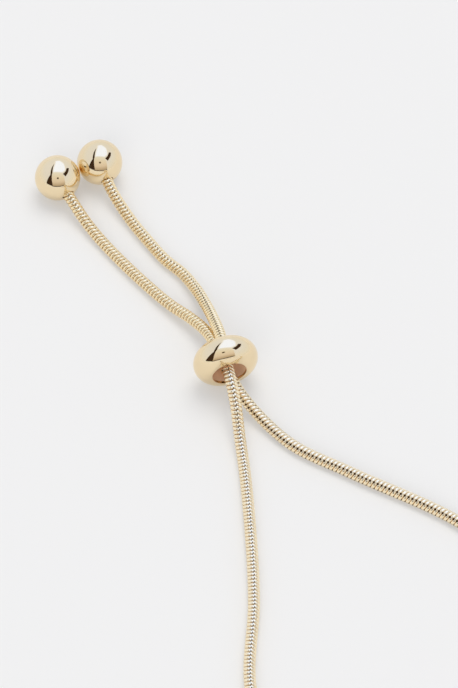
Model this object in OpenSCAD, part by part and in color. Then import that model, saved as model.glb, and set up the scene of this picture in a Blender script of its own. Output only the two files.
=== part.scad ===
// Slider bracelet lying on a table: a round snake chain runs as one loop, both of its
// ends pass the same way through a ring-shaped bead, and each end is fixed in a ball.
// Millimetres. +Z is up, +Y runs from the far end of the loop to the two balls, and the
// origin is on the table under the middle of the whole bracelet.

/* [Chain] */
// Outside diameter of the round snake chain
chain_d = 1.45; // [1.2:0.05:1.45]

/* [Slider bead] */
// Outside diameter of the bead
bead_d = 8; // [7.9:0.05:8.1]
// Width of the bead along its hole
bead_w = 3.8; // [3.6:0.1:3.9]
// Clear diameter of the bead's two mouths
mouth_d = 4.25; // [4.2:0.05:4.6]
// Radius of the rounded rim at each mouth
rim_r = 0.18; // [0.1:0.02:0.2]
// Turn of the bead to the left of the long axis, in degrees
bead_turn = 15; // [13:1:17]
// Fall of the bead's hole towards the loop, in degrees
bead_fall = 6; // [4:1:8]

/* [Bead lining] */
// Inside diameter of the soft sleeve in the bead
lining_bore_d = 4.3; // [4.25:0.05:4.5]
// Wall of the soft sleeve
lining_wall = 0.45; // [0.3:0.05:0.5]

/* [Ball ends] */
// Diameter of each ball
ball_d = 5.7; // [5.2:0.1:5.7]
// Diameter of the drilled hole that holds the chain
ball_hole_d = 1.8; // [1.7:0.05:2.2]

/* [Hidden] */
$fn = 96;

gold = [0.91, 0.83, 0.67];
gold_chain = [0.88, 0.80, 0.65];
tan_rubber = [0.68, 0.50, 0.38];

// Gap that two separate pieces keep where one sits in the other
fit_gap = 0.05;

// Section of the bead: a half-round of this radius, whose centre is this far from the axis
bead_section_r = bead_w / 2;
bead_section_at = bead_d / 2 - bead_section_r;
bead_at = [3.5, 15.5, bead_section_at * cos(bead_fall) + bead_section_r];

// Lip of metal left at each mouth, in front of the groove that holds the sleeve
lip_w = 0.3;
groove_r = lining_bore_d / 2 + lining_wall + fit_gap;
groove_w = bead_w - 2 * lip_w;
lining_w = groove_w - 2 * fit_gap;
lining_edge_r = 0.15;

// Balls: centres, bottom of the drilled hole and the small bevel at its mouth
ball_left_at = [0.2, 51.8, ball_d / 2];
ball_right_at = [6, 51.4, ball_d / 2];
hole_floor = 1.2;
hole_bevel = 0.1;

// Distance from a ball's centre to the end of the chain in its hole
chain_seat = hole_floor + 0.1;
// Height of the chain's middle where it lies on the table
lie = chain_d / 2;

// Points on the chain's middle line: x, y, z
tail_left = [
    [0.3, 48.2, 1.9], [0.5, 44.6, 1.05], [1.1, 39.2, lie], [2, 33.6, 0.8],
    [3.1, 28.2, 1.1], [4, 24.9, 1.6], [4.4, 21.6, 2.25]
];
lower_run = [[3.95, 18.2, 2.9], [3.4, 15.6, 2.8], [3.2, 13.2, 2.55]];
loop_right = [
    [3.4, 10.8, 1.8], [4.1, 7.1, 0.95], [5.3, 2.6, lie], [9.1, -4.2, lie], [16.5, -16.8, lie]
];
loop_end = [
    [19.7, -25.1, lie], [20.3, -33.9, lie], [17.6, -42.5, lie], [11.6, -49.3, lie],
    [3.6, -53, lie], [-5.5, -52.7, lie], [-13.2, -48.7, lie], [-18.1, -41.6, lie],
    [-19.3, -33, lie]
];
loop_left = [
    [-16.5, -24.9, lie], [-10.2, -14.9, lie], [-4.6, -4.2, lie], [-1.2, 3, lie],
    [0.3, 6.6, 1.35], [1.6, 9.8, 3]
];
upper_run = [[2.6, 12.8, 4.1], [3.5, 15.4, 4.45], [4.2, 17.4, 4.65]];
tail_right = [
    [4.9, 19.4, 4.2], [5.6, 21.8, 3.35], [6.5, 25.6, 2], [7, 29, 1.15],
    [6.7, 32.2, 0.8], [5.8, 39, lie], [5.5, 44.2, 1], [5.5, 47.9, 1.9]
];

// Directions in which the chain leaves the two balls
left_exit = unit(tail_left[0] - ball_left_at);
right_exit = unit(tail_right[7] - ball_right_at);

route = concat(
    [ball_left_at + chain_seat * left_exit],
    tail_left, lower_run, loop_right, loop_end, loop_left, upper_run, tail_right,
    [ball_right_at + chain_seat * right_exit]
);
last = len(route) - 1;

// Sides of the chain's tube, one of them flat on the table, and the longest step between rings
chain_sides = 8;
side_angle = 360 / chain_sides;
chain_corner_r = lie / cos(side_angle / 2);
ring_gap = 4;

function unit(v) = v / norm(v);
function chord(i) = route[i + 1] - route[i];

// A point of the route at table height has a level heading
function level(v, z) = z > lie ? v : [v[0], v[1], 0];

// Heading at a point: the mean of the chords on both sides, the shorter one counting more
function heading(i) =
    i == 0 ? unit(chord(0))
    : i == last ? unit(chord(last - 1))
    : unit(level(
        chord(i - 1) / pow(norm(chord(i - 1)), 2) + chord(i) / pow(norm(chord(i)), 2),
        route[i][2]
    ));

// Place on the cubic between two points of the route, with t from 0 to 1
function place(i, t) =
    (2 * pow(t, 3) - 3 * pow(t, 2) + 1) * route[i]
    + (pow(t, 3) - 2 * pow(t, 2) + t) * norm(chord(i)) * heading(i)
    + (3 * pow(t, 2) - 2 * pow(t, 3)) * route[i + 1]
    + (pow(t, 3) - pow(t, 2)) * norm(chord(i)) * heading(i + 1);

// Direction of travel at that place
function travel(i, t) = unit(
    (6 * pow(t, 2) - 6 * t) * (route[i] - route[i + 1])
    + (3 * pow(t, 2) - 4 * t + 1) * norm(chord(i)) * heading(i)
    + (3 * pow(t, 2) - 2 * t) * norm(chord(i)) * heading(i + 1)
);

// The chain never sinks below the height at which it lies
function above_table(p) = [p[0], p[1], max(p[2], lie)];

// Corners of one ring of the tube
function ring(p, d) =
    let (side = unit(cross(d, [0, 0, 1])), up = cross(side, d))
    [
        for (k = [0 : chain_sides - 1])
            let (a = (k + 0.5) * side_angle)
            p + chain_corner_r * (cos(a) * side + sin(a) * up)
    ];

// Stations along the route: the stretch and the share of it
stations = concat(
    [
        for (i = [0 : last - 1])
            let (steps = ceil(norm(chord(i)) / ring_gap))
            for (k = [0 : steps - 1]) [i, k / steps]
    ],
    [[last - 1, 1]]
);
ring_count = len(stations);

// Half of a disc, on the right of the axis
module half_disc(r) {
    intersection() {
        circle(r);
        translate([0, -r]) square([r, 2 * r]);
    }
}

// Corner of the bead's section at a mouth, with the rounding disc taken out of it
module rim_corner() {
    centre = [
        mouth_d / 2 + rim_r,
        sqrt(pow(bead_section_r - rim_r, 2) - pow(mouth_d / 2 + rim_r - bead_section_at, 2))
    ];
    outward = unit(centre - [bead_section_at, 0]);
    difference() {
        polygon([
            centre,
            [mouth_d / 2, centre[1]],
            [mouth_d / 2 - rim_r, bead_w],
            [mouth_d / 2 + rim_r, bead_w],
            centre + 1.2 * rim_r * outward
        ]);
        circle_at(centre, rim_r);
    }
}

module circle_at(p, r) {
    translate(p) circle(r);
}

// Section of the bead: half-round outside, rounded mouths, groove for the sleeve
module bead_section() {
    difference() {
        translate([bead_section_at, 0]) circle(bead_section_r);
        translate([-bead_w, -bead_w]) square([bead_w + mouth_d / 2, 2 * bead_w]);
        rim_corner();
        mirror([0, 1]) rim_corner();
        translate([0, -groove_w / 2]) square([groove_r, groove_w]);
    }
}

// Wall of the sleeve with rounded inner edges
module lining_section() {
    r = lining_bore_d / 2;
    h = lining_w / 2 - lining_edge_r;
    translate([r + lining_edge_r, -lining_w / 2])
        square([lining_wall - lining_edge_r, lining_w]);
    translate([r, -h]) square([lining_edge_r, 2 * h]);
    circle_at([r + lining_edge_r, h], lining_edge_r);
    circle_at([r + lining_edge_r, -h], lining_edge_r);
}

// Stands the bead's axis along the hole's direction, the loop's side down
module in_bead_place() {
    translate(bead_at) rotate([90 + bead_fall, 0, -bead_turn]) children();
}

// Drilled ball with its hole along the direction d
module drilled_ball(at, d) {
    translate(at) rotate([0, acos(d[2]), atan2(d[1], d[0])])
        rotate_extrude()
            difference() {
                half_disc(ball_d / 2);
                translate([0, hole_floor]) square([ball_hole_d / 2, ball_d]);
                polygon([
                    [0, ball_d / 2 - 2 * hole_bevel],
                    [ball_hole_d / 2, ball_d / 2 - 2.5 * hole_bevel],
                    [ball_hole_d / 2 + 2.5 * hole_bevel, ball_d / 2],
                    [0, ball_d / 2]
                ]);
            }
}

module slider_bead() {
    color(gold) in_bead_place() rotate_extrude() bead_section();
}

module bead_lining() {
    color(tan_rubber) in_bead_place() rotate_extrude() lining_section();
}

module ball_end_left() {
    color(gold) drilled_ball(ball_left_at, left_exit);
}

module ball_end_right() {
    color(gold) drilled_ball(ball_right_at, right_exit);
}

module snake_chain() {
    corners = [
        for (s = stations)
            each ring(above_table(place(s[0], s[1])), travel(s[0], s[1]))
    ];
    walls = [
        for (j = [0 : ring_count - 2], k = [0 : chain_sides - 1])
            let (
                a = j * chain_sides + k,
                b = j * chain_sides + (k + 1) % chain_sides
            )
            each [[a, b, b + chain_sides], [a, b + chain_sides, a + chain_sides]]
    ];
    first_cap = [for (k = [chain_sides - 1 : -1 : 0]) k];
    last_cap = [for (k = [0 : chain_sides - 1]) (ring_count - 1) * chain_sides + k];
    color(gold_chain) polyhedron(corners, concat(walls, [first_cap, last_cap]));
}

slider_bead();
bead_lining();
ball_end_left();
ball_end_right();
snake_chain();
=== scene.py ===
import math

import bmesh
import bpy
from bpy.props import FloatProperty, FloatVectorProperty, PointerProperty
from mathutils import Matrix, Vector


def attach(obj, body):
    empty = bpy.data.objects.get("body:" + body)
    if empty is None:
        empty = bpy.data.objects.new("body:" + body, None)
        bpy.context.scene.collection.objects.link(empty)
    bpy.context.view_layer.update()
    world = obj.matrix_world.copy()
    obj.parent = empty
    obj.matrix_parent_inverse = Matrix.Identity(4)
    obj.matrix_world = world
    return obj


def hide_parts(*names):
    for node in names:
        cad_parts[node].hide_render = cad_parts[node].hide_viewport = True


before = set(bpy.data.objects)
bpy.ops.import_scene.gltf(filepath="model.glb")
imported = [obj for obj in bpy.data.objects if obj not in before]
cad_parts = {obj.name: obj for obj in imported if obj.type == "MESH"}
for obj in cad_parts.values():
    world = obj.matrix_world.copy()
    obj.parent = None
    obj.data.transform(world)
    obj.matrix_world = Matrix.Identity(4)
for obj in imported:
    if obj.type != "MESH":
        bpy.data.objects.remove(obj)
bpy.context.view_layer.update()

bl_info = {
    "name": "Slider Bracelet",
    "version": (1, 0, 0),
    "blender": (4, 5, 0),
    "location": "View3D > Sidebar > Bracelet",
    "description": "Builds a snake-chain slider bracelet with its bead, ball ends and studio",
    "category": "Add Mesh",
}

# Height of the chain's middle where it lies on the table
LIE = 0.000725

# The balls' centres, and how far from a ball's centre the chain ends in its hole
BALL_LEFT_AT = Vector((0.0002, 0.0518, 0.00285))
BALL_RIGHT_AT = Vector((0.0060, 0.0514, 0.00285))
CHAIN_SEAT = 0.0013

# The bead's centre, the turn of its hole to the left and its fall towards the loop
BEAD_AT = Vector((0.0035, 0.0155, 0.003988))
BEAD_TURN = math.radians(15)
BEAD_FALL = math.radians(6)

# Points on the chain's middle line from ball to ball, each with the turn of its ribs in degrees
ROUTE = [
    # Left tail
    (0.0003, 0.0482, 0.0019, 60), (0.0005, 0.0446, 0.00105, 20), (0.0011, 0.0392, LIE, 26),
    (0.0020, 0.0336, 0.0008, 30), (0.0031, 0.0282, 0.0011, 33), (0.0040, 0.0249, 0.0016, 30),
    (0.0044, 0.0216, 0.00225, 24),
    # Through the bead, below the other strand
    (0.00395, 0.0182, 0.0029, 19), (0.0034, 0.0156, 0.0028, 15), (0.0032, 0.0132, 0.00255, 11),
    # Right side of the loop
    (0.0034, 0.0108, 0.0018, 8), (0.0041, 0.0071, 0.00095, 0), (0.0053, 0.0026, LIE, -6),
    (0.0091, -0.0042, LIE, -17), (0.0165, -0.0168, LIE, -9),
    # Far end of the loop
    (0.0197, -0.0251, LIE, 5), (0.0203, -0.0339, LIE, 10), (0.0176, -0.0425, LIE, 15),
    (0.0116, -0.0493, LIE, 20), (0.0036, -0.0530, LIE, 25), (-0.0055, -0.0527, LIE, 30),
    (-0.0132, -0.0487, LIE, 35), (-0.0181, -0.0416, LIE, 40), (-0.0193, -0.0330, LIE, 44),
    # Left side of the loop
    (-0.0165, -0.0249, LIE, 47), (-0.0102, -0.0149, LIE, 49), (-0.0046, -0.0042, LIE, 50),
    (-0.0012, 0.0030, LIE, 47), (0.0003, 0.0066, 0.00135, 46), (0.0016, 0.0098, 0.0030, 45),
    # Through the bead, above the other strand
    (0.0026, 0.0128, 0.0041, 42), (0.0035, 0.0154, 0.00445, 38), (0.0042, 0.0174, 0.00465, 34),
    # Right tail, with a kink halfway
    (0.0049, 0.0194, 0.0042, 31), (0.0056, 0.0218, 0.00335, 31), (0.0065, 0.0256, 0.0020, 42),
    (0.0070, 0.0290, 0.00115, 48), (0.0069, 0.0322, 0.0008, 58), (0.0062, 0.0350, LIE, 44),
    (0.0058, 0.0390, LIE, 52), (0.0055, 0.0442, 0.0010, 60), (0.0055, 0.0479, 0.0019, 48),
]

# Places along the chain in metres, each with how far the painted shade in its pits reaches
PIT_SHADE_REACH = [
    (0.0, 0.5), (0.030, 0.5), (0.040, 2.2), (0.046, 3.0), (0.072, 3.0), (0.090, 0.85),
    (0.208, 0.85), (0.2105, 2.6), (0.218, 2.6), (0.222, 0.5), (0.243, 0.5),
]

# Places along the chain in metres, both inside the bead, between which its ribs take the paler
# loop colour
LOOP_FROM = 0.036
LOOP_TO = 0.208

# Camera: direction from the bracelet, distance, the point that it looks at, its sensor in mm,
# and the nearest and the farthest that it sees
VIEW_AZIMUTH = math.radians(-30)
VIEW_ELEVATION = math.radians(52)
VIEW_DISTANCE = 0.560
VIEW_TARGET = Vector((0.00465, 0.01665, 0.00522))
SENSOR = 36
SEES_FROM = 0.01
SEES_TO = 20

# Times that light is followed from mirror to mirror, as between the two balls
MIRROR_BOUNCES = 16

# How near two places are that count as one, and how near a corner is that lies on a cut
SAME_PLACE = 2e-6
ON_CUT = 1e-7

# Angle between two faces under which they are shaded as one surface, on the ribs and elsewhere
SMOOTH_RIBS = math.radians(40)
SMOOTH_FACES = math.radians(35)


class BRACELET_PG_chain(bpy.types.PropertyGroup):
    """Sizes of the snake chain"""

    diameter: FloatProperty(
        name="Diameter", description="Outside diameter of the chain",
        default=0.00145, unit="LENGTH", precision=5,
    )
    pitch: FloatProperty(
        name="Pitch", description="Distance between two ribs of one column",
        default=0.000515, unit="LENGTH", precision=5,
    )
    rib_slant: FloatProperty(
        name="Rib slant", description="Angle by which each rib leans round the chain",
        default=math.radians(17.2), subtype="ANGLE",
    )
    rib_reach: FloatProperty(
        name="Rib reach", description="Angle from a rib's middle to its tip",
        default=math.radians(45), subtype="ANGLE",
    )
    rib_bow: FloatProperty(
        name="Rib bow", description="How far a rib's middle lies ahead of its two tips",
        default=-0.00005, unit="LENGTH", precision=5,
    )
    stagger: FloatProperty(
        name="Stagger", description="Shift of every second column of ribs along the chain",
        default=0.000188, unit="LENGTH", precision=6,
    )
    groove: FloatProperty(
        name="Groove", description="Depth of the groove between two ribs",
        default=0.00020, unit="LENGTH", precision=5,
    )
    pit: FloatProperty(
        name="Pit", description="Depth of the pits in which the grooves end",
        default=0.00028, unit="LENGTH", precision=5,
    )
    seam_depth: FloatProperty(
        name="Seam depth", description="Depth of the seam between two columns, beside the pits",
        default=0.00004, unit="LENGTH", precision=5,
    )


class BRACELET_PG_bead(bpy.types.PropertyGroup):
    """Sizes of the slider bead and its lining"""

    diameter: FloatProperty(
        name="Diameter", description="Outside diameter of the bead",
        default=0.0080, unit="LENGTH", precision=5,
    )
    width: FloatProperty(
        name="Width", description="Width of the bead along its hole",
        default=0.0038, unit="LENGTH", precision=5,
    )
    mouth: FloatProperty(
        name="Mouth", description="Clear diameter of the two mouths",
        default=0.00425, unit="LENGTH", precision=5,
    )
    rim: FloatProperty(
        name="Rim", description="Radius of the rounded rims",
        default=0.00018, unit="LENGTH", precision=5,
    )
    lip: FloatProperty(
        name="Lip", description="Metal in front of the groove that holds the lining",
        default=0.0003, unit="LENGTH", precision=5,
    )
    lining_bore: FloatProperty(
        name="Lining bore", description="Inside diameter of the soft sleeve",
        default=0.0043, unit="LENGTH", precision=5,
    )
    lining_wall: FloatProperty(
        name="Lining wall", description="Wall of the soft sleeve",
        default=0.00045, unit="LENGTH", precision=5,
    )
    lining_edge: FloatProperty(
        name="Lining edge", description="Rounding of the soft sleeve's edges",
        default=0.00015, unit="LENGTH", precision=5,
    )
    fit_gap: FloatProperty(
        name="Fit gap", description="Gap between the sleeve and its groove",
        default=0.00005, unit="LENGTH", precision=5,
    )


class BRACELET_PG_balls(bpy.types.PropertyGroup):
    """Sizes of the ball ends"""

    diameter: FloatProperty(
        name="Diameter", description="Diameter of each ball",
        default=0.0057, unit="LENGTH", precision=5,
    )
    hole: FloatProperty(
        name="Hole", description="Diameter of the drilled hole",
        default=0.00152, unit="LENGTH", precision=5,
    )
    hole_floor: FloatProperty(
        name="Hole floor", description="Height of the hole's bottom over the ball's centre",
        default=0.0012, unit="LENGTH", precision=5,
    )
    bevel: FloatProperty(
        name="Bevel", description="Bevel at the hole's mouth",
        default=0.00006, unit="LENGTH", precision=5,
    )


class BRACELET_PG_finish(bpy.types.PropertyGroup):
    """Colours of the finishes"""

    gold: FloatVectorProperty(
        name="Gold", description="Champagne-gold plating of the bead and balls",
        default=(0.90, 0.735, 0.48), subtype="COLOR", size=3, min=0, max=1,
    )
    # Crown colour of the ribs in the loop, and a warmer one for the two tails
    chain_gold: FloatVectorProperty(
        name="Chain gold", description="Plating on the crown of each rib in the loop",
        default=(0.99, 0.845, 0.59), subtype="COLOR", size=3, min=0, max=1,
    )
    tail_gold: FloatVectorProperty(
        name="Tail gold", description="Plating on the crown of each rib in the two tails",
        default=(1.0, 0.82, 0.51), subtype="COLOR", size=3, min=0, max=1,
    )
    # Painted shade: a browner colour laid into the grooves between the ribs, more of it the
    # deeper they lie
    groove: FloatVectorProperty(
        name="Groove", description="Plating at the bottom of the grooves between the ribs",
        default=(0.60, 0.35, 0.15), subtype="COLOR", size=3, min=0, max=1,
    )
    # Painted shade: the dark colour laid into the pits at the ribs' tips
    pit: FloatVectorProperty(
        name="Pit", description="Dark gaps at the ribs' tips",
        default=(0.10, 0.045, 0.014), subtype="COLOR", size=3, min=0, max=1,
    )
    rubber: FloatVectorProperty(
        name="Rubber", description="Silicone of the bead's lining",
        default=(0.97, 0.68, 0.48), subtype="COLOR", size=3, min=0, max=1,
    )


class BRACELET_PG_studio(bpy.types.PropertyGroup):
    """Light, floor and lens of the studio"""

    lens: FloatProperty(
        name="Lens", description="Focal length for a 36 mm sensor along the picture's tall side",
        default=242.5, subtype="DISTANCE_CAMERA",
    )
    walls: FloatVectorProperty(
        name="Walls", description="Glow of the daylit white walls as the metal mirrors them",
        default=(0.83, 0.90, 1.06), size=3, min=0,
    )
    surround: FloatProperty(
        name="Surround", description="Light that falls on the set from all sides",
        default=0.61, min=0,
    )
    softbox: FloatVectorProperty(
        name="Softbox", description="Glow of the overhead softbox as the metal mirrors it",
        default=(1.01, 1.225, 1.82), size=3, min=0,
    )
    key: FloatProperty(
        name="Key light", description="Power of the high light behind the set",
        default=5.2, unit="POWER", min=0,
    )
    fill: FloatProperty(
        name="Fill light", description="Power of the low light beside the camera",
        default=3.6, unit="POWER", min=0,
    )
    floor: FloatVectorProperty(
        name="Floor", description="Colour of the table's white acrylic",
        default=(0.66, 0.66, 0.66), subtype="COLOR", size=3, min=0, max=1,
    )
    floor_glow: FloatProperty(
        name="Floor glow", description="Light that comes through the table from below",
        default=0.22, min=0,
    )


# Building in edit mode

def start_primitive(name, add, **how):
    """Adds one primitive under its name, alone in the selection, and opens it in edit mode."""
    bpy.ops.object.select_all(action="DESELECT")
    add(**how)
    piece = bpy.context.object
    piece.name = piece.data.name = name
    bpy.ops.object.mode_set(mode="EDIT")
    bpy.ops.mesh.select_mode(type="VERT")
    return piece


def pick_all():
    """Selects the whole mesh."""
    bpy.ops.mesh.select_all(action="SELECT")


def pick(test):
    """Selects the corners whose place passes the test, and nothing else."""
    bpy.ops.mesh.select_all(action="DESELECT")
    mesh = bmesh.from_edit_mesh(bpy.context.object.data)
    for corner in mesh.verts:
        corner.select_set(test(corner.co))
    mesh.select_flush_mode()
    bmesh.update_edit_mesh(bpy.context.object.data)


def pick_edges(test):
    """Selects the edges whose two ends pass the test."""
    bpy.ops.mesh.select_mode(type="EDGE")
    bpy.ops.mesh.select_all(action="DESELECT")
    mesh = bmesh.from_edit_mesh(bpy.context.object.data)
    for edge in mesh.edges:
        edge.select_set(test(edge.verts[0].co, edge.verts[1].co))
    mesh.select_flush_mode()
    bmesh.update_edit_mesh(bpy.context.object.data)


def first_corner(piece):
    """Place of a mesh's first corner, in edit mode."""
    return bmesh.from_edit_mesh(piece.data).verts[:][0].co.copy()


def move(offset):
    """Moves what is selected."""
    bpy.ops.transform.translate(value=offset)


def grow(factors):
    """Scales what is selected, away from the origin."""
    bpy.ops.transform.resize(value=factors, center_override=(0, 0, 0))


def turn(angle):
    """Turns the whole mesh about the X axis."""
    pick_all()
    bpy.ops.transform.rotate(
        value=angle, orient_axis="X", orient_type="GLOBAL", center_override=(0, 0, 0)
    )


def extrude(offset, by=bpy.ops.mesh.extrude_region_move):
    """Extrudes what is selected and moves what is new."""
    by(TRANSFORM_OT_translate={"value": offset})


def spin(steps, angle, axis):
    """Spins the whole section about an axis through the origin."""
    pick_all()
    bpy.ops.mesh.spin(steps=steps, angle=angle, center=(0, 0, 0), axis=axis, dupli=False)


def cut(at, facing, **dropped):
    """Cuts the whole mesh with a plane, and may drop one side of it."""
    pick_all()
    bpy.ops.mesh.bisect(plane_co=at, plane_no=facing, threshold=ON_CUT, **dropped)


def close_up(piece):
    """Merges doubles, turns the faces outward and leaves edit mode."""
    bpy.ops.mesh.select_mode(type="VERT")
    pick_all()
    bpy.ops.mesh.remove_doubles(threshold=ON_CUT)
    bpy.ops.mesh.normals_make_consistent(inside=False)
    bpy.ops.object.mode_set(mode="OBJECT")
    return piece


def alone(piece):
    """Leaves only this piece selected and active."""
    bpy.ops.object.select_all(action="DESELECT")
    piece.select_set(True)
    bpy.context.view_layer.objects.active = piece


def place(piece, matrix):
    """Puts a piece in its place and leaves the place in its mesh."""
    alone(piece)
    piece.matrix_world = matrix
    bpy.ops.object.transform_apply(location=True, rotation=True, scale=True)


def finish_piece(piece, node, material, smooth=SMOOTH_FACES):
    """Shades, paints and hands a finished piece to the frame."""
    alone(piece)
    bpy.ops.object.shade_smooth_by_angle(angle=smooth)
    piece.data.materials.clear()
    piece.data.materials.append(material)
    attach(piece, "root")
    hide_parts(node)


# Finishes

# How rough each plating is, how much smudges add to that, how fine its polish marks are, how
# strongly they show, and how deep they are
BALL_POLISH = {"Roughness": 0.03, "Smudge": 0.04, "Marks per metre": 2600}
BALL_MARKS = 0.02
RIB_POLISH = {"Roughness": 0.18, "Smudge": 0.10, "Marks per metre": 5200}
RIB_MARKS = 0.08
MARK_DEPTH = 0.00001

# Roughness in the chain's pits, and the shares of a groove's depth and of full pit shade from
# which the painted browner shade in the grooves and the painted dark shade in the pits begin, and
# at which the dark shade is whole
PIT_ROUGHNESS = 0.85
GROOVE_SHADE_FROM = 0.25
DARK_FROM = 0.17
DARK_AT = 0.43

# Share of the rubber's brightness in the hollows of its grain, and the depth of the grain
GRAIN_SHADE = 0.88
GRAIN_DEPTH = 0.00002


def set_inputs(node, values):
    """Sets a node's inputs, each by its name."""
    for name, value in values.items():
        node.inputs[name].default_value = value


def add_node(tree, kind, values=None, **settings):
    """A new node with its settings and the values of its inputs."""
    node = tree.nodes.new(kind)
    for name, setting in settings.items():
        setattr(node, name, setting)
    set_inputs(node, values or {})
    return node


def link(tree, giver, output, taker, wanted):
    """Links one node's output to another node's input."""
    tree.links.new(giver.outputs[output], taker.inputs[wanted])


def new_material(name, values):
    """A material, its node tree and its shader with the values of the shader's inputs."""
    material = bpy.data.materials.new(name)
    material.use_nodes = True
    shader = material.node_tree.nodes["Principled BSDF"]
    set_inputs(shader, values)
    return material, material.node_tree, shader


def plating_group():
    """Slight unevenness that all plated parts share: tone, smudges and fine polish marks."""
    group = bpy.data.node_groups.get("Plating")
    if group:
        return group
    group = bpy.data.node_groups.new("Plating", "ShaderNodeTree")
    for name, way, kind in (
        ("Colour", "INPUT", "NodeSocketColor"),
        ("Roughness", "INPUT", "NodeSocketFloat"),
        ("Smudge", "INPUT", "NodeSocketFloat"),
        ("Marks per metre", "INPUT", "NodeSocketFloat"),
        ("Colour", "OUTPUT", "NodeSocketColor"),
        ("Roughness", "OUTPUT", "NodeSocketFloat"),
        ("Height", "OUTPUT", "NodeSocketFloat"),
    ):
        group.interface.new_socket(name=name, in_out=way, socket_type=kind)
    given = add_node(group, "NodeGroupInput")
    result = add_node(group, "NodeGroupOutput")
    place_on = add_node(group, "ShaderNodeTexCoord")

    cloud = add_node(group, "ShaderNodeTexNoise", {"Scale": 420, "Detail": 3})
    marks = add_node(group, "ShaderNodeTexNoise", {"Detail": 2, "Distortion": 0.4})
    link(group, place_on, "Object", cloud, "Vector")
    link(group, place_on, "Object", marks, "Vector")
    link(group, given, "Marks per metre", marks, "Scale")

    tone = add_node(
        group, "ShaderNodeMapRange",
        {"From Min": 0.3, "From Max": 0.7, "To Min": 0.97, "To Max": 1.02},
    )
    toned = add_node(group, "ShaderNodeVectorMath", operation="SCALE")
    link(group, cloud, "Fac", tone, "Value")
    link(group, given, "Colour", toned, 0)
    link(group, tone, "Result", toned, "Scale")
    link(group, toned, "Vector", result, "Colour")

    smudge = add_node(group, "ShaderNodeMath", operation="MULTIPLY_ADD")
    link(group, cloud, "Fac", smudge, 0)
    link(group, given, "Smudge", smudge, 1)
    link(group, given, "Roughness", smudge, 2)
    link(group, smudge, "Value", result, "Roughness")
    link(group, marks, "Fac", result, "Height")
    return group


def add_plating(tree, shader, polish, strength):
    """Lays the plating's tone and polish marks on a material."""
    plating = add_node(tree, "ShaderNodeGroup", polish, node_tree=plating_group())
    bump = add_node(tree, "ShaderNodeBump", {"Strength": strength, "Distance": MARK_DEPTH})
    link(tree, plating, "Colour", shader, "Base Color")
    link(tree, plating, "Height", bump, "Height")
    link(tree, bump, "Normal", shader, "Normal")
    return plating


def polished_gold():
    """Mirror-polished champagne-gold plating, for the bead and the balls."""
    material = bpy.data.materials.get("polished_gold_plating")
    if material:
        return material
    colours = bpy.context.scene.bracelet_finish
    material, tree, shader = new_material("polished_gold_plating", {"Metallic": 1.0})
    plating = add_plating(tree, shader, BALL_POLISH, BALL_MARKS)
    set_inputs(plating, {"Colour": (*colours.gold, 1)})
    link(tree, plating, "Roughness", shader, "Roughness")
    return material


def chain_gold():
    """Bright plating on the ribs, warmer on the tails, with painted shade: browner in the grooves
    and dark in the pits.
    """
    colours = bpy.context.scene.bracelet_finish
    material, tree, shader = new_material("chain_gold_plating", {"Specular IOR Level": 0.0})
    rib = add_node(tree, "ShaderNodeUVMap", uv_map="rib")
    split = add_node(tree, "ShaderNodeSeparateXYZ")
    grooved = add_node(tree, "ShaderNodeMapRange", {"From Min": GROOVE_SHADE_FROM})
    pitted = add_node(tree, "ShaderNodeMapRange", {"From Min": DARK_FROM, "From Max": DARK_AT})
    link(tree, rib, "UV", split, "Vector")
    link(tree, split, "X", grooved, "Value")
    link(tree, split, "Y", pitted, "Value")

    in_tail = add_node(tree, "ShaderNodeAttribute", attribute_name="in_tail")
    crown = add_node(
        tree, "ShaderNodeMix", {"A": (*colours.chain_gold, 1), "B": (*colours.tail_gold, 1)},
        data_type="RGBA",
    )
    tint = add_node(tree, "ShaderNodeMix", {"B": (*colours.groove, 1)}, data_type="RGBA")
    pit_shade = add_node(tree, "ShaderNodeMix", {"B": (*colours.pit, 1)}, data_type="RGBA")
    plating = add_plating(tree, shader, RIB_POLISH, RIB_MARKS)
    link(tree, in_tail, "Fac", crown, "Factor")
    link(tree, crown, "Result", tint, "A")
    link(tree, grooved, "Result", tint, "Factor")
    link(tree, tint, "Result", pit_shade, "A")
    link(tree, pitted, "Result", pit_shade, "Factor")
    link(tree, pit_shade, "Result", plating, "Colour")

    # Where the pit shade is painted, the metal gives way to a dull dark colour
    plated = add_node(tree, "ShaderNodeMath", {0: 1.0}, operation="SUBTRACT")
    dulled = add_node(tree, "ShaderNodeMix", {"B": PIT_ROUGHNESS})
    link(tree, pitted, "Result", plated, 1)
    link(tree, plated, "Value", shader, "Metallic")
    link(tree, pitted, "Result", dulled, "Factor")
    link(tree, plating, "Roughness", dulled, "A")
    link(tree, dulled, "Result", shader, "Roughness")
    return material


def rose_rubber():
    """Matt rose-brown silicone with a fine moulded grain."""
    colours = bpy.context.scene.bracelet_finish
    material, tree, shader = new_material("rose_rubber", {"Specular IOR Level": 0.3})
    place_on = add_node(tree, "ShaderNodeTexCoord")
    grain = add_node(tree, "ShaderNodeTexNoise", {"Scale": 6000, "Detail": 3})
    ramp = add_node(tree, "ShaderNodeValToRGB")
    hollow = [channel * GRAIN_SHADE for channel in colours.rubber]
    for stop, colour in zip(ramp.color_ramp.elements, (hollow, colours.rubber)):
        stop.color = (*colour, 1)
    dull = add_node(tree, "ShaderNodeMapRange", {"To Min": 0.55, "To Max": 0.75})
    bump = add_node(tree, "ShaderNodeBump", {"Strength": 0.15, "Distance": GRAIN_DEPTH})
    link(tree, place_on, "Object", grain, "Vector")
    link(tree, grain, "Fac", ramp, "Fac")
    link(tree, grain, "Fac", dull, "Value")
    link(tree, grain, "Fac", bump, "Height")
    link(tree, ramp, "Color", shader, "Base Color")
    link(tree, dull, "Result", shader, "Roughness")
    link(tree, bump, "Normal", shader, "Normal")
    return material


# The chain's route

# Steps between two points of the route, for bending the chain and for measuring it
BEND_STEPS = 24
MEASURE_STEPS = 64


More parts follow.
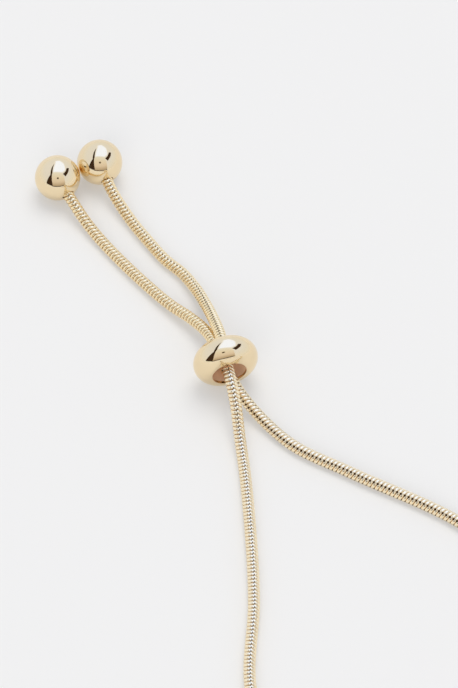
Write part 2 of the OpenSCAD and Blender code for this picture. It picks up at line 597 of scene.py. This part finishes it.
def route_points():
    """Places along the chain's middle line, end to end, and the turn of the ribs at each."""
    places = [Vector(row[:3]) for row in ROUTE]
    turns = [math.radians(row[3]) for row in ROUTE]
    first = BALL_LEFT_AT + CHAIN_SEAT * (places[0] - BALL_LEFT_AT).normalized()
    final = BALL_RIGHT_AT + CHAIN_SEAT * (places[-1] - BALL_RIGHT_AT).normalized()
    return [first, *places, final], [turns[0], *turns, turns[-1]]


def headings(places):
    """Way of travel at each place: the mean of the chords, the shorter one counting more."""
    chords = [b - a for a, b in zip(places, places[1:])]
    result = [chords[0].normalized()]
    for before, after, place_at in zip(chords, chords[1:], places[1:]):
        mean = before / before.length_squared + after / after.length_squared
        if place_at.z <= LIE:
            mean.z = 0
        result.append(mean.normalized())
    result.append(chords[-1].normalized())
    return result


def above_table(place_at):
    """The same place, but never lower than the chain lies."""
    return Vector((place_at.x, place_at.y, max(place_at.z, LIE)))


def route_curve():
    """The route as one smooth curve, whose tilt turns the chain's ribs, and its length."""
    places, turns = route_points()
    ways = headings(places)
    curve = bpy.data.curves.new("chain_route", "CURVE")
    curve.dimensions = "3D"
    curve.twist_mode = "Z_UP"
    curve.resolution_u = BEND_STEPS
    spline = curve.splines.new("BEZIER")
    spline.tilt_interpolation = "LINEAR"
    last = len(places) - 1
    spline.bezier_points.add(last)
    for i, knot in enumerate(spline.bezier_points):
        back = (places[i] - places[i - 1]).length / 3 if i > 0 else 0
        ahead = (places[i + 1] - places[i]).length / 3 if i < last else 0
        knot.co = places[i]
        knot.handle_left_type = knot.handle_right_type = "FREE"
        knot.handle_left = above_table(places[i] - back * ways[i])
        knot.handle_right = above_table(places[i] + ahead * ways[i])
        knot.tilt = turns[i]
    route = bpy.data.objects.new("chain_route", curve)
    bpy.context.collection.objects.link(route)
    return route, spline.calc_length(resolution=MEASURE_STEPS)


# The chain's links

# Half of a rib's section, from beside its crown into the groove. At each corner: its place along
# the chain in pitches, its depth in groove depths, and its depth at the rib's tip in pit depths,
# where it is never above the seam
RIB_SIDE = [(0.22, 0.06, 0), (0.38, 0.28, 0.75), (0.52, 1.0, 1.0)]

# Side of the plane from whose corner a rib's section is drawn
RIB_START = 0.0001

# Faces from a rib's middle to its tip, and how near an angle is that counts as the same
RIB_HALF = 4
SAME_ANGLE = 0.02

# A corner is at a rib's tip, or beside it, beyond these shares of the rib's reach. It is in a pit
# beyond so many seam depths, and on a groove's bottom beyond that share of the groove's depth
AT_TIP = 0.98
BESIDE_TIP = 0.7
IN_PIT = 1.2
ON_BOTTOM = 0.9

# Painted shade on the seam between two pits, and on a groove's bottom beside a pit, whose own is
# 1
SEAM_SHADE = 0.1
GROOVE_BOTTOM_SHADE = 0.4

# Pitches from the chain's end to the middle of its first rib
END_GAP = 0.6


def rib_profile(sizes):
    """Section of one rib: how far along the chain, how deep, and how deep at the rib's tip."""
    half = [
        (along * sizes.pitch, depth * sizes.groove, max(tip * sizes.pit, sizes.seam_depth))
        for along, depth, tip in RIB_SIDE
    ]
    back = [(-along, depth, tip) for along, depth, tip in reversed(half)]
    return [*back, (0, 0, sizes.seam_depth), *half]


def add_rib(sizes):
    """One rib: its section spun about the chain's middle, slanted, and pitted at its tips."""
    radius = sizes.diameter / 2
    profile = rib_profile(sizes)
    rib = start_primitive("rib", bpy.ops.mesh.primitive_plane_add, size=RIB_START)
    first = first_corner(rib)
    pick(lambda at: (at - first).length > SAME_PLACE)
    bpy.ops.mesh.delete(type="VERT")
    pick_all()
    move(Vector((profile[0][0], 0, radius - profile[0][1])) - first)
    for (x0, depth0, _), (x1, depth1, _) in zip(profile, profile[1:]):
        extrude((x1 - x0, 0, depth0 - depth1))
    turn(sizes.rib_reach)
    way = -1 if first_corner(rib).y > 0 else 1
    spin(2 * RIB_HALF, 2 * sizes.rib_reach, (way, 0, 0))
    for k in range(-RIB_HALF, RIB_HALF + 1):
        angle = sizes.rib_reach * k / RIB_HALF

        def in_column(at, angle=angle):
            return abs(math.atan2(at.y, at.z) - angle) < SAME_ANGLE

        if abs(k) == RIB_HALF:
            shape_tip(radius, profile, in_column)
        pick(in_column)
        bow = sizes.rib_bow * (1 - (k / RIB_HALF) ** 2)
        move((math.tan(sizes.rib_slant) * radius * angle + bow, 0, 0))
    mark_rib(rib, sizes)
    return close_up(rib)


def shape_tip(radius, profile, in_column):
    """Lowers a rib's tip to the seam, and ends the grooves on both its sides in pits."""
    for along, depth, tip in profile:
        factor = (radius - tip) / (radius - depth)
        pick(lambda at, along=along: in_column(at) and abs(at.x - along) < SAME_PLACE)
        grow((1, factor, factor))


def mark_rib(rib, sizes):
    """Writes on each corner how far down it lies in a groove, and how much painted pit shade it
    gets.
    """
    mesh = bmesh.from_edit_mesh(rib.data)
    layer = mesh.loops.layers.uv.new("rib")
    radius = sizes.diameter / 2
    for face in mesh.faces:
        for loop in face.loops:
            at = loop.vert.co
            depth = radius - math.hypot(at.y, at.z)
            reach = abs(math.atan2(at.y, at.z)) / sizes.rib_reach
            pit_shade = 0
            if reach > AT_TIP:
                in_pit = depth > IN_PIT * sizes.seam_depth
                pit_shade = depth / sizes.pit if in_pit else SEAM_SHADE
            elif reach > BESIDE_TIP and depth > ON_BOTTOM * sizes.groove:
                pit_shade = GROOVE_BOTTOM_SHADE
            loop[layer].uv = (depth / sizes.groove, pit_shade)
    bmesh.update_edit_mesh(rib.data)


def copy_turned(piece, angle, along):
    """A copy with its own mesh, turned about the chain's middle and moved along it."""
    alone(piece)
    bpy.ops.object.duplicate(linked=False)
    twin = bpy.context.object
    place(twin, Matrix.Translation((along, 0, 0)) @ Matrix.Rotation(angle, 4, "X"))
    return twin


def pit_shade_at(along):
    """How far the painted pit shade reaches at a place along the chain."""
    for (start, before), (end, after) in zip(PIT_SHADE_REACH, PIT_SHADE_REACH[1:]):
        if along <= end:
            return before + (after - before) * (along - start) / (end - start)
    return PIT_SHADE_REACH[-1][1]


def spread_pit_shade(chain):
    """Spreads the painted shade of the pits along the straight row of ribs."""
    mesh = chain.data
    reach = [pit_shade_at(max(0, corner.co.x)) for corner in mesh.vertices]
    for loop, mark in zip(mesh.loops, mesh.uv_layers["rib"].data):
        mark.uv = (mark.uv[0], mark.uv[1] * reach[loop.vertex_index])


def mark_tails(chain):
    """Marks the corners on the straight row's two ends, whose ribs take the warmer tail colour.
    """
    in_tail = chain.data.attributes.new("in_tail", "FLOAT", "POINT")
    for corner, mark in zip(chain.data.vertices, in_tail.data):
        mark.value = 0.0 if LOOP_FROM < corner.co.x < LOOP_TO else 1.0


class BRACELET_OT_chain(bpy.types.Operator):
    """Build the snake chain from its ribs, bent along the route"""

    bl_idname = "bracelet.chain"
    bl_label = "Snake Chain"

    def execute(self, context):
        sizes = context.scene.bracelet_chain
        route, length = route_curve()
        rib = add_rib(sizes)
        quarter = math.radians(90)
        twins = [
            copy_turned(rib, 2 * quarter, 0),
            copy_turned(rib, quarter, sizes.stagger),
            copy_turned(rib, 3 * quarter, sizes.stagger),
        ]
        bpy.ops.object.select_all(action="DESELECT")
        for piece in [*twins, rib]:
            piece.select_set(True)
        context.view_layer.objects.active = rib
        bpy.ops.object.join()
        chain = context.object
        chain.name = chain.data.name = "snake_chain_links"
        place(chain, Matrix.Translation((END_GAP * sizes.pitch, 0, 0)))
        row = chain.modifiers.new("row", "ARRAY")
        row.count = int((length - (END_GAP + 1) * sizes.pitch) / sizes.pitch) + 1
        row.use_relative_offset = False
        row.use_constant_offset = True
        row.constant_offset_displace = (sizes.pitch, 0, 0)
        bend = chain.modifiers.new("bend", "CURVE")
        bend.object = route
        bend.deform_axis = "POS_X"
        bpy.ops.object.modifier_apply(modifier=row.name)
        spread_pit_shade(chain)
        mark_tails(chain)
        bpy.ops.object.modifier_apply(modifier=bend.name)
        bpy.data.objects.remove(route)
        finish_piece(chain, "snake_chain", chain_gold(), SMOOTH_RIBS)
        return {"FINISHED"}


# The bead and its lining

# Straight pieces in the bead's section and in its rims, round the bead, round the sleeve, and in
# the sleeve's edges
SECTION_PIECES = 144
RIM_PIECES = 6
BEAD_PIECES = 160
SLEEVE_PIECES = 128
EDGE_PIECES = 4


def bead_place():
    """Stands a ring's axis along the bead's hole, the loop's side down."""
    return (
        Matrix.Translation(BEAD_AT)
        @ Matrix.Rotation(-BEAD_TURN, 4, "Z")
        @ Matrix.Rotation(math.radians(90) + BEAD_FALL, 4, "X")
    )


class BRACELET_OT_bead(bpy.types.Operator):
    """Turn the slider bead from its half-round section"""

    bl_idname = "bracelet.bead"
    bl_label = "Slider Bead"

    def execute(self, context):
        sizes = context.scene.bracelet_bead
        section_r = sizes.width / 2
        mouth_r = sizes.mouth / 2
        groove_r = sizes.lining_bore / 2 + sizes.lining_wall + sizes.fit_gap
        groove_half = sizes.width / 2 - sizes.lip

        def on_mouth(at):
            return abs(at.x - mouth_r) < SAME_PLACE

        def over_groove(a, b):
            inside = max(a.x, b.x) < mouth_r + SAME_PLACE
            return inside and max(abs(a.z), abs(b.z)) < groove_half + SAME_PLACE

        def on_lip(at):
            return at.x < mouth_r + SAME_PLACE and abs(abs(at.z) - groove_half) < SAME_PLACE

        bead = start_primitive(
            "slider_bead_ring", bpy.ops.mesh.primitive_circle_add,
            vertices=SECTION_PIECES, radius=section_r, location=(0, 0, 0), rotation=(0, 0, 0),
        )
        turn(math.radians(90))
        move((sizes.diameter / 2 - section_r, 0, 0))
        cut((mouth_r, 0, 0), (1, 0, 0), clear_inner=True)
        pick(on_mouth)
        bpy.ops.mesh.edge_face_add()
        pick(on_mouth)
        bpy.ops.mesh.bevel(
            affect="VERTICES", offset=sizes.rim, offset_type="OFFSET", segments=RIM_PIECES,
            profile=0.5,
        )
        for height in (-groove_half, groove_half):
            cut((0, 0, height), (0, 0, 1))
        pick_edges(over_groove)
        bpy.ops.mesh.delete(type="EDGE")
        bpy.ops.mesh.select_mode(type="VERT")
        pick(on_lip)
        extrude((groove_r - mouth_r, 0, 0))
        bpy.ops.mesh.edge_face_add()
        spin(BEAD_PIECES, math.radians(360), (0, 0, 1))
        close_up(bead)
        place(bead, bead_place())
        finish_piece(bead, "slider_bead", polished_gold())
        return {"FINISHED"}


class BRACELET_OT_lining(bpy.types.Operator):
    """Make the soft sleeve inside the bead"""

    bl_idname = "bracelet.lining"
    bl_label = "Bead Lining"

    def execute(self, context):
        sizes = context.scene.bracelet_bead
        depth = sizes.width - 2 * sizes.lip - 2 * sizes.fit_gap
        lining = start_primitive(
            "bead_lining_sleeve", bpy.ops.mesh.primitive_cylinder_add,
            vertices=SLEEVE_PIECES, radius=sizes.lining_bore / 2, depth=depth,
            end_fill_type="NOTHING",
        )
        pick_all()
        bpy.ops.mesh.normals_make_consistent(inside=False)
        bpy.ops.object.mode_set(mode="OBJECT")
        wall = lining.modifiers.new("wall", "SOLIDIFY")
        wall.thickness = sizes.lining_wall
        wall.offset = 1
        edge = lining.modifiers.new("edge", "BEVEL")
        edge.width = sizes.lining_edge
        edge.segments = EDGE_PIECES
        edge.limit_method = "ANGLE"
        bpy.ops.object.modifier_apply(modifier=wall.name)
        bpy.ops.object.modifier_apply(modifier=edge.name)
        bpy.ops.object.mode_set(mode="EDIT")
        close_up(lining)
        place(lining, bead_place())
        finish_piece(lining, "bead_lining", rose_rubber())
        return {"FINISHED"}


# The balls

# Straight pieces round a ball and from pole to pole, and bevels by which a hole's mouth is wider
BALL_PIECES = 128
BALL_RINGS = 96
MOUTH_BEVELS = 1.5


def add_ball(name, node, centre, chain_at, sizes):
    """A ball with a bevelled blind hole, pointing its hole at the chain."""
    radius = sizes.diameter / 2
    hole_r = sizes.hole / 2
    mouth_r = hole_r + MOUTH_BEVELS * sizes.bevel
    mouth_z = math.sqrt(radius ** 2 - mouth_r ** 2)
    ball = start_primitive(
        name, bpy.ops.mesh.primitive_uv_sphere_add,
        segments=BALL_PIECES, ring_count=BALL_RINGS, radius=radius,
    )
    cut((0, 0, mouth_z), (0, 0, 1), clear_outer=True)
    pick_edges(lambda a, b: min(a.z, b.z) > mouth_z - SAME_PLACE)
    extrude((0, 0, -sizes.bevel), by=bpy.ops.mesh.extrude_edges_move)
    grow((hole_r / mouth_r, hole_r / mouth_r, 1))
    extrude((0, 0, sizes.hole_floor - mouth_z + sizes.bevel), by=bpy.ops.mesh.extrude_edges_move)
    bpy.ops.mesh.edge_face_add()
    close_up(ball)
    aim = (chain_at - centre).to_track_quat("Z", "Y").to_matrix().to_4x4()
    place(ball, Matrix.Translation(centre) @ aim)
    finish_piece(ball, node, polished_gold())


class BRACELET_OT_balls(bpy.types.Operator):
    """Turn and drill the two ball ends"""

    bl_idname = "bracelet.balls"
    bl_label = "Ball Ends"

    def execute(self, context):
        sizes = context.scene.bracelet_balls
        first = Vector(ROUTE[0][:3])
        final = Vector(ROUTE[-1][:3])
        add_ball("ball_left_drilled", "ball_end_left", BALL_LEFT_AT, first, sizes)
        add_ball("ball_right_drilled", "ball_end_right", BALL_RIGHT_AT, final, sizes)
        return {"FINISHED"}


# The studio

# How far from the bracelet the cards, the lamps and the walls stand, in metres
LENS_AWAY = 0.9
TABLE_EDGE_AWAY = 1.1
DARK_GAPS_AWAY = 1.2
LAMPS_AWAY = 1.2
SOFTBOX_AWAY = 1.3
DIM_ROOM_AWAY = 1.4
WALLS_AWAY = 1.48

# Radius of the disc from which a card is drawn
CARD_START = 0.1

# Outlines of the cards: each corner in degrees to the right of the camera, and in degrees up
SOFTBOX = [
    (-66, 64), (66, 62), (98, 51), (118, 48), (147, 38), (175, 28), (-168, 33), (-160, 50),
]
DARK_GAP_LEFT = [
    (-56, 5), (-58, 20), (-64, 50), (-120, 59), (-161, 49), (-120, 66), (-66, 63), (-54, 55),
    (-25, 15), (-24, 5),
]
DARK_GAP_RIGHT = [(62, 40), (62, 58), (90, 52), (121, 42), (121, 31), (99, 36)]
DIM_ROOM = [(-24, 6), (-26, 15), (-54, 56), (-66, 64), (66, 63), (50, 40), (38, 6)]
TABLE_EDGE = [(-26, 3), (-26, 6), (38, 6), (38, 3)]

# The lens as the metal mirrors it: its middle, half its width and half its height in degrees
LENS_AT = (3, 50)
LENS_WIDE = 8.5
LENS_HIGH = 5.2
LENS_CORNERS = 12

# Glow of the softbox's rim, of the walls near the table and of the dim room, whose stops lie at
# these shares of the height of its top, and the width of the softbox's rim
RIM_GLOW = (0.87, 0.93, 1.01)
LOW_WALL_GLOW = (0.87, 0.905, 0.95)
DIM_ROOM_GLOW = [
    (0.14, (0.44, 0.38, 0.31)), (0.30, (0.62, 0.55, 0.48)), (0.46, (0.77, 0.71, 0.67)),
    (0.74, (0.84, 0.83, 0.80)), (1.0, (0.86, 0.93, 1.03)),
]
DIM_ROOM_TOP = 1.25
SOFT_RIM = 0.16

# Faint glow of the black cards and of the lens, with its strength
BLACK_GLOW = (1.0, 0.61, 0.37), 0.05
LENS_GLOW = (1.0, 0.75, 0.5), 0.12

# The two lamps: their directions in degrees as above, their width in metres and their light, and
# the colour of the light from all sides
KEY_FROM = (165, 70)
FILL_FROM = (-10, 32)
LAMP_WIDTH = 0.9
LAMP_COLOUR = (1.0, 0.94, 0.83)
SURROUND_COLOUR = (0.94, 0.98, 1.065)

# Side of the table in metres, and straight pieces round the walls and from pole to pole
TABLE_SIDE = 3.0
WALL_PIECES = 32
WALL_RINGS = 16


def toward(azimuth, elevation):
    """Direction in degrees from the camera's side, positive to the right of the picture."""
    around = VIEW_AZIMUTH + math.radians(azimuth)
    up = math.radians(elevation)
    return Vector((
        math.sin(around) * math.cos(up), -math.cos(around) * math.cos(up), math.sin(up)
    ))


def glow_material(name, colour, strength):
    """An even glow over a black face."""
    return new_material(name, {
        "Base Color": (0, 0, 0, 1), "Specular IOR Level": 0, "Roughness": 1,
        "Emission Color": (*colour, 1), "Emission Strength": strength,
    })[0]


def soft_glow_material(name, stops):
    """A glow that changes over the card; each stop has its place from 0 to 1 and its colour."""
    material, tree, shader = new_material(name, {
        "Base Color": (0, 0, 0, 1), "Specular IOR Level": 0, "Emission Strength": 1,
    })
    inward = add_node(tree, "ShaderNodeAttribute", attribute_name="inward")
    glow = add_node(tree, "ShaderNodeValToRGB")
    on_ramp = glow.color_ramp.elements
    while len(on_ramp) < len(stops):
        on_ramp.new(0.5)
    for stop, (position, colour) in zip(on_ramp, stops):
        stop.position = position
        stop.color = (*colour, 1)
    link(tree, inward, "Fac", glow, "Fac")
    link(tree, glow, "Color", shader, "Emission Color")
    return material


def mark_inward(card, values):
    """Writes on each corner of a card where it lies among its glow's stops."""
    inward = card.data.attributes.new("inward", "FLOAT", "POINT")
    for mark, value in zip(inward.data, values):
        mark.value = value


def soften_rim(card, width):
    """Insets a card's face, so that its glow can change from the rim inward."""
    alone(card)
    bpy.ops.object.mode_set(mode="EDIT")
    bpy.ops.mesh.select_mode(type="FACE")
    pick_all()
    bpy.ops.mesh.inset(thickness=width, use_even_offset=True)
    bpy.ops.object.mode_set(mode="OBJECT")
    mesh = card.data
    inner = {index for face in mesh.polygons if face.select for index in face.vertices}
    mark_inward(card, [float(index in inner) for index in range(len(mesh.vertices))])


def only_mirrored(card):
    """Lets a card show in polished metal alone, without lighting or shading the table."""
    card.visible_camera = False
    card.visible_diffuse = False
    card.visible_shadow = False


def studio_card(name, corners, distance, material):
    """A flat card around the set, each corner in its direction from the bracelet."""
    card = start_primitive(
        name, bpy.ops.mesh.primitive_circle_add,
        vertices=len(corners), radius=CARD_START, fill_type="NGON",
    )
    ends = [distance * toward(*corner) for corner in corners]
    mesh = bmesh.from_edit_mesh(card.data)
    starts = [corner.co.copy() for corner in mesh.verts]
    for start, end in zip(starts, ends):
        pick(lambda at, start=start: (at - start).length < SAME_PLACE)
        move(end - start)
    bpy.ops.object.mode_set(mode="OBJECT")
    card.data.materials.append(material)
    only_mirrored(card)
    return card


class BRACELET_OT_camera(bpy.types.Operator):
    """Set up the camera at the photograph's angle"""

    bl_idname = "bracelet.camera"
    bl_label = "Camera"

    def execute(self, context):
        back = toward(0, math.degrees(VIEW_ELEVATION))
        data = bpy.data.cameras.new("view")
        data.lens = context.scene.bracelet_studio.lens
        data.sensor_width = SENSOR
        data.sensor_fit = "AUTO"
        data.clip_start = SEES_FROM
        data.clip_end = SEES_TO
        camera = bpy.data.objects.new("view", data)
        context.collection.objects.link(camera)
        camera.location = VIEW_TARGET + VIEW_DISTANCE * back
        camera.rotation_euler = back.to_track_quat("Z", "Y").to_euler()
        context.scene.camera = camera
        return {"FINISHED"}


class BRACELET_OT_studio(bpy.types.Operator):
    """Lay the pale table and put up the softbox, the cards and the white surroundings"""

    bl_idname = "bracelet.studio"
    bl_label = "Studio"

    def execute(self, context):
        studio = context.scene.bracelet_studio
        context.scene.view_settings.view_transform = "Standard"
        context.scene.cycles.max_bounces = MIRROR_BOUNCES
        context.scene.cycles.glossy_bounces = MIRROR_BOUNCES
        self.lay_table(studio)
        self.surround(context, studio)
        self.put_up_walls(studio)
        self.hang_softbox(studio)
        self.put_up_lamps(context, studio)
        self.put_up_cards()
        return {"FINISHED"}

    def lay_table(self, studio):
        table = start_primitive(
            "table", bpy.ops.mesh.primitive_plane_add, size=TABLE_SIDE, location=(0, 0, 0)
        )
        bpy.ops.mesh.subdivide(number_cuts=3)
        bpy.ops.object.mode_set(mode="OBJECT")
        table.data.materials.append(new_material("white_acrylic", {
            "Emission Color": (1, 1, 1, 1), "Emission Strength": studio.floor_glow,
            "Base Color": (*studio.floor, 1), "Roughness": 0.9, "Specular IOR Level": 0.1,
        })[0])

    def surround(self, context, studio):
        world = bpy.data.worlds.new("white_surround")
        world.use_nodes = True
        set_inputs(world.node_tree.nodes["Background"], {
            "Color": (*SURROUND_COLOUR, 1), "Strength": studio.surround,
        })
        context.scene.world = world

    def put_up_walls(self, studio):
        walls = start_primitive(
            "white_walls", bpy.ops.mesh.primitive_uv_sphere_add,
            segments=WALL_PIECES, ring_count=WALL_RINGS, radius=WALLS_AWAY,
        )
        pick_all()
        bpy.ops.mesh.bisect(plane_co=(0, 0, 0), plane_no=(0, 0, 1), clear_inner=True)
        bpy.ops.object.mode_set(mode="OBJECT")
        walls.data.materials.append(
            soft_glow_material("white_wall", [(0.06, LOW_WALL_GLOW), (0.5, studio.walls)])
        )
        mark_inward(walls, [corner.co.z / WALLS_AWAY for corner in walls.data.vertices])
        only_mirrored(walls)

    def hang_softbox(self, studio):
        glow = soft_glow_material("softbox_face", [(0, RIM_GLOW), (1, studio.softbox)])
        soften_rim(studio_card("softbox", SOFTBOX, SOFTBOX_AWAY, glow), SOFT_RIM)

    def put_up_lamps(self, context, studio):
        for name, power, way in (
            ("key_light", studio.key, toward(*KEY_FROM)),
            ("fill_light", studio.fill, toward(*FILL_FROM)),
        ):
            data = bpy.data.lights.new(name, "AREA")
            data.energy = power
            data.color = LAMP_COLOUR
            data.shape = "DISK"
            data.size = LAMP_WIDTH
            lamp = bpy.data.objects.new(name, data)
            context.collection.objects.link(lamp)
            lamp.location = LAMPS_AWAY * way
            lamp.rotation_euler = way.to_track_quat("Z", "Y").to_euler()
            lamp.visible_glossy = False

    def put_up_cards(self):
        black = glow_material("black_card", *BLACK_GLOW)
        dim = soft_glow_material("dim_room", DIM_ROOM_GLOW)
        studio_card("dark_gap_left", DARK_GAP_LEFT, DARK_GAPS_AWAY, black)
        studio_card("dark_gap_right", DARK_GAP_RIGHT, DARK_GAPS_AWAY, black)
        front = studio_card("dim_front", DIM_ROOM, DIM_ROOM_AWAY, dim)
        heights = [corner.co.z / DIM_ROOM_TOP for corner in front.data.vertices]
        mark_inward(front, [min(1, height) for height in heights])
        studio_card("table_edge", TABLE_EDGE, TABLE_EDGE_AWAY, black)
        turns = [math.radians(360 * k / LENS_CORNERS) for k in range(LENS_CORNERS)]
        lens = [
            (LENS_AT[0] + LENS_WIDE * math.sin(a), LENS_AT[1] + LENS_HIGH * math.cos(a))
            for a in turns
        ]
        studio_card("camera_front", lens, LENS_AWAY, glow_material("lens_front", *LENS_GLOW))


class BRACELET_PT_panel(bpy.types.Panel):
    """Lists the bracelet's pieces and their sizes"""

    bl_label = "Slider Bracelet"
    bl_idname = "BRACELET_PT_panel"
    bl_space_type = "VIEW_3D"
    bl_region_type = "UI"
    bl_category = "Bracelet"

    def draw(self, context):
        scene = context.scene
        for operator in OPERATORS:
            self.layout.operator(operator.bl_idname)
        for name in GROUPS:
            box = self.layout.box()
            group = getattr(scene, name)
            for field in group.__annotations__:
                box.prop(group, field)


OPERATORS = (
    BRACELET_OT_camera,
    BRACELET_OT_chain,
    BRACELET_OT_bead,
    BRACELET_OT_lining,
    BRACELET_OT_balls,
    BRACELET_OT_studio,
)
GROUPS = {
    "bracelet_chain": BRACELET_PG_chain,
    "bracelet_bead": BRACELET_PG_bead,
    "bracelet_balls": BRACELET_PG_balls,
    "bracelet_finish": BRACELET_PG_finish,
    "bracelet_studio": BRACELET_PG_studio,
}
CLASSES = (*GROUPS.values(), *OPERATORS, BRACELET_PT_panel)


def register():
    for cls in CLASSES:
        bpy.utils.register_class(cls)
    for name, group in GROUPS.items():
        setattr(bpy.types.Scene, name, PointerProperty(type=group))


def unregister():
    for name in GROUPS:
        delattr(bpy.types.Scene, name)
    for cls in reversed(CLASSES):
        bpy.utils.unregister_class(cls)


def main():
    register()
    bpy.ops.bracelet.camera()
    bpy.ops.bracelet.chain()
    bpy.ops.bracelet.bead()
    bpy.ops.bracelet.lining()
    bpy.ops.bracelet.balls()
    bpy.ops.bracelet.studio()


if __name__ == "__main__":
    main()
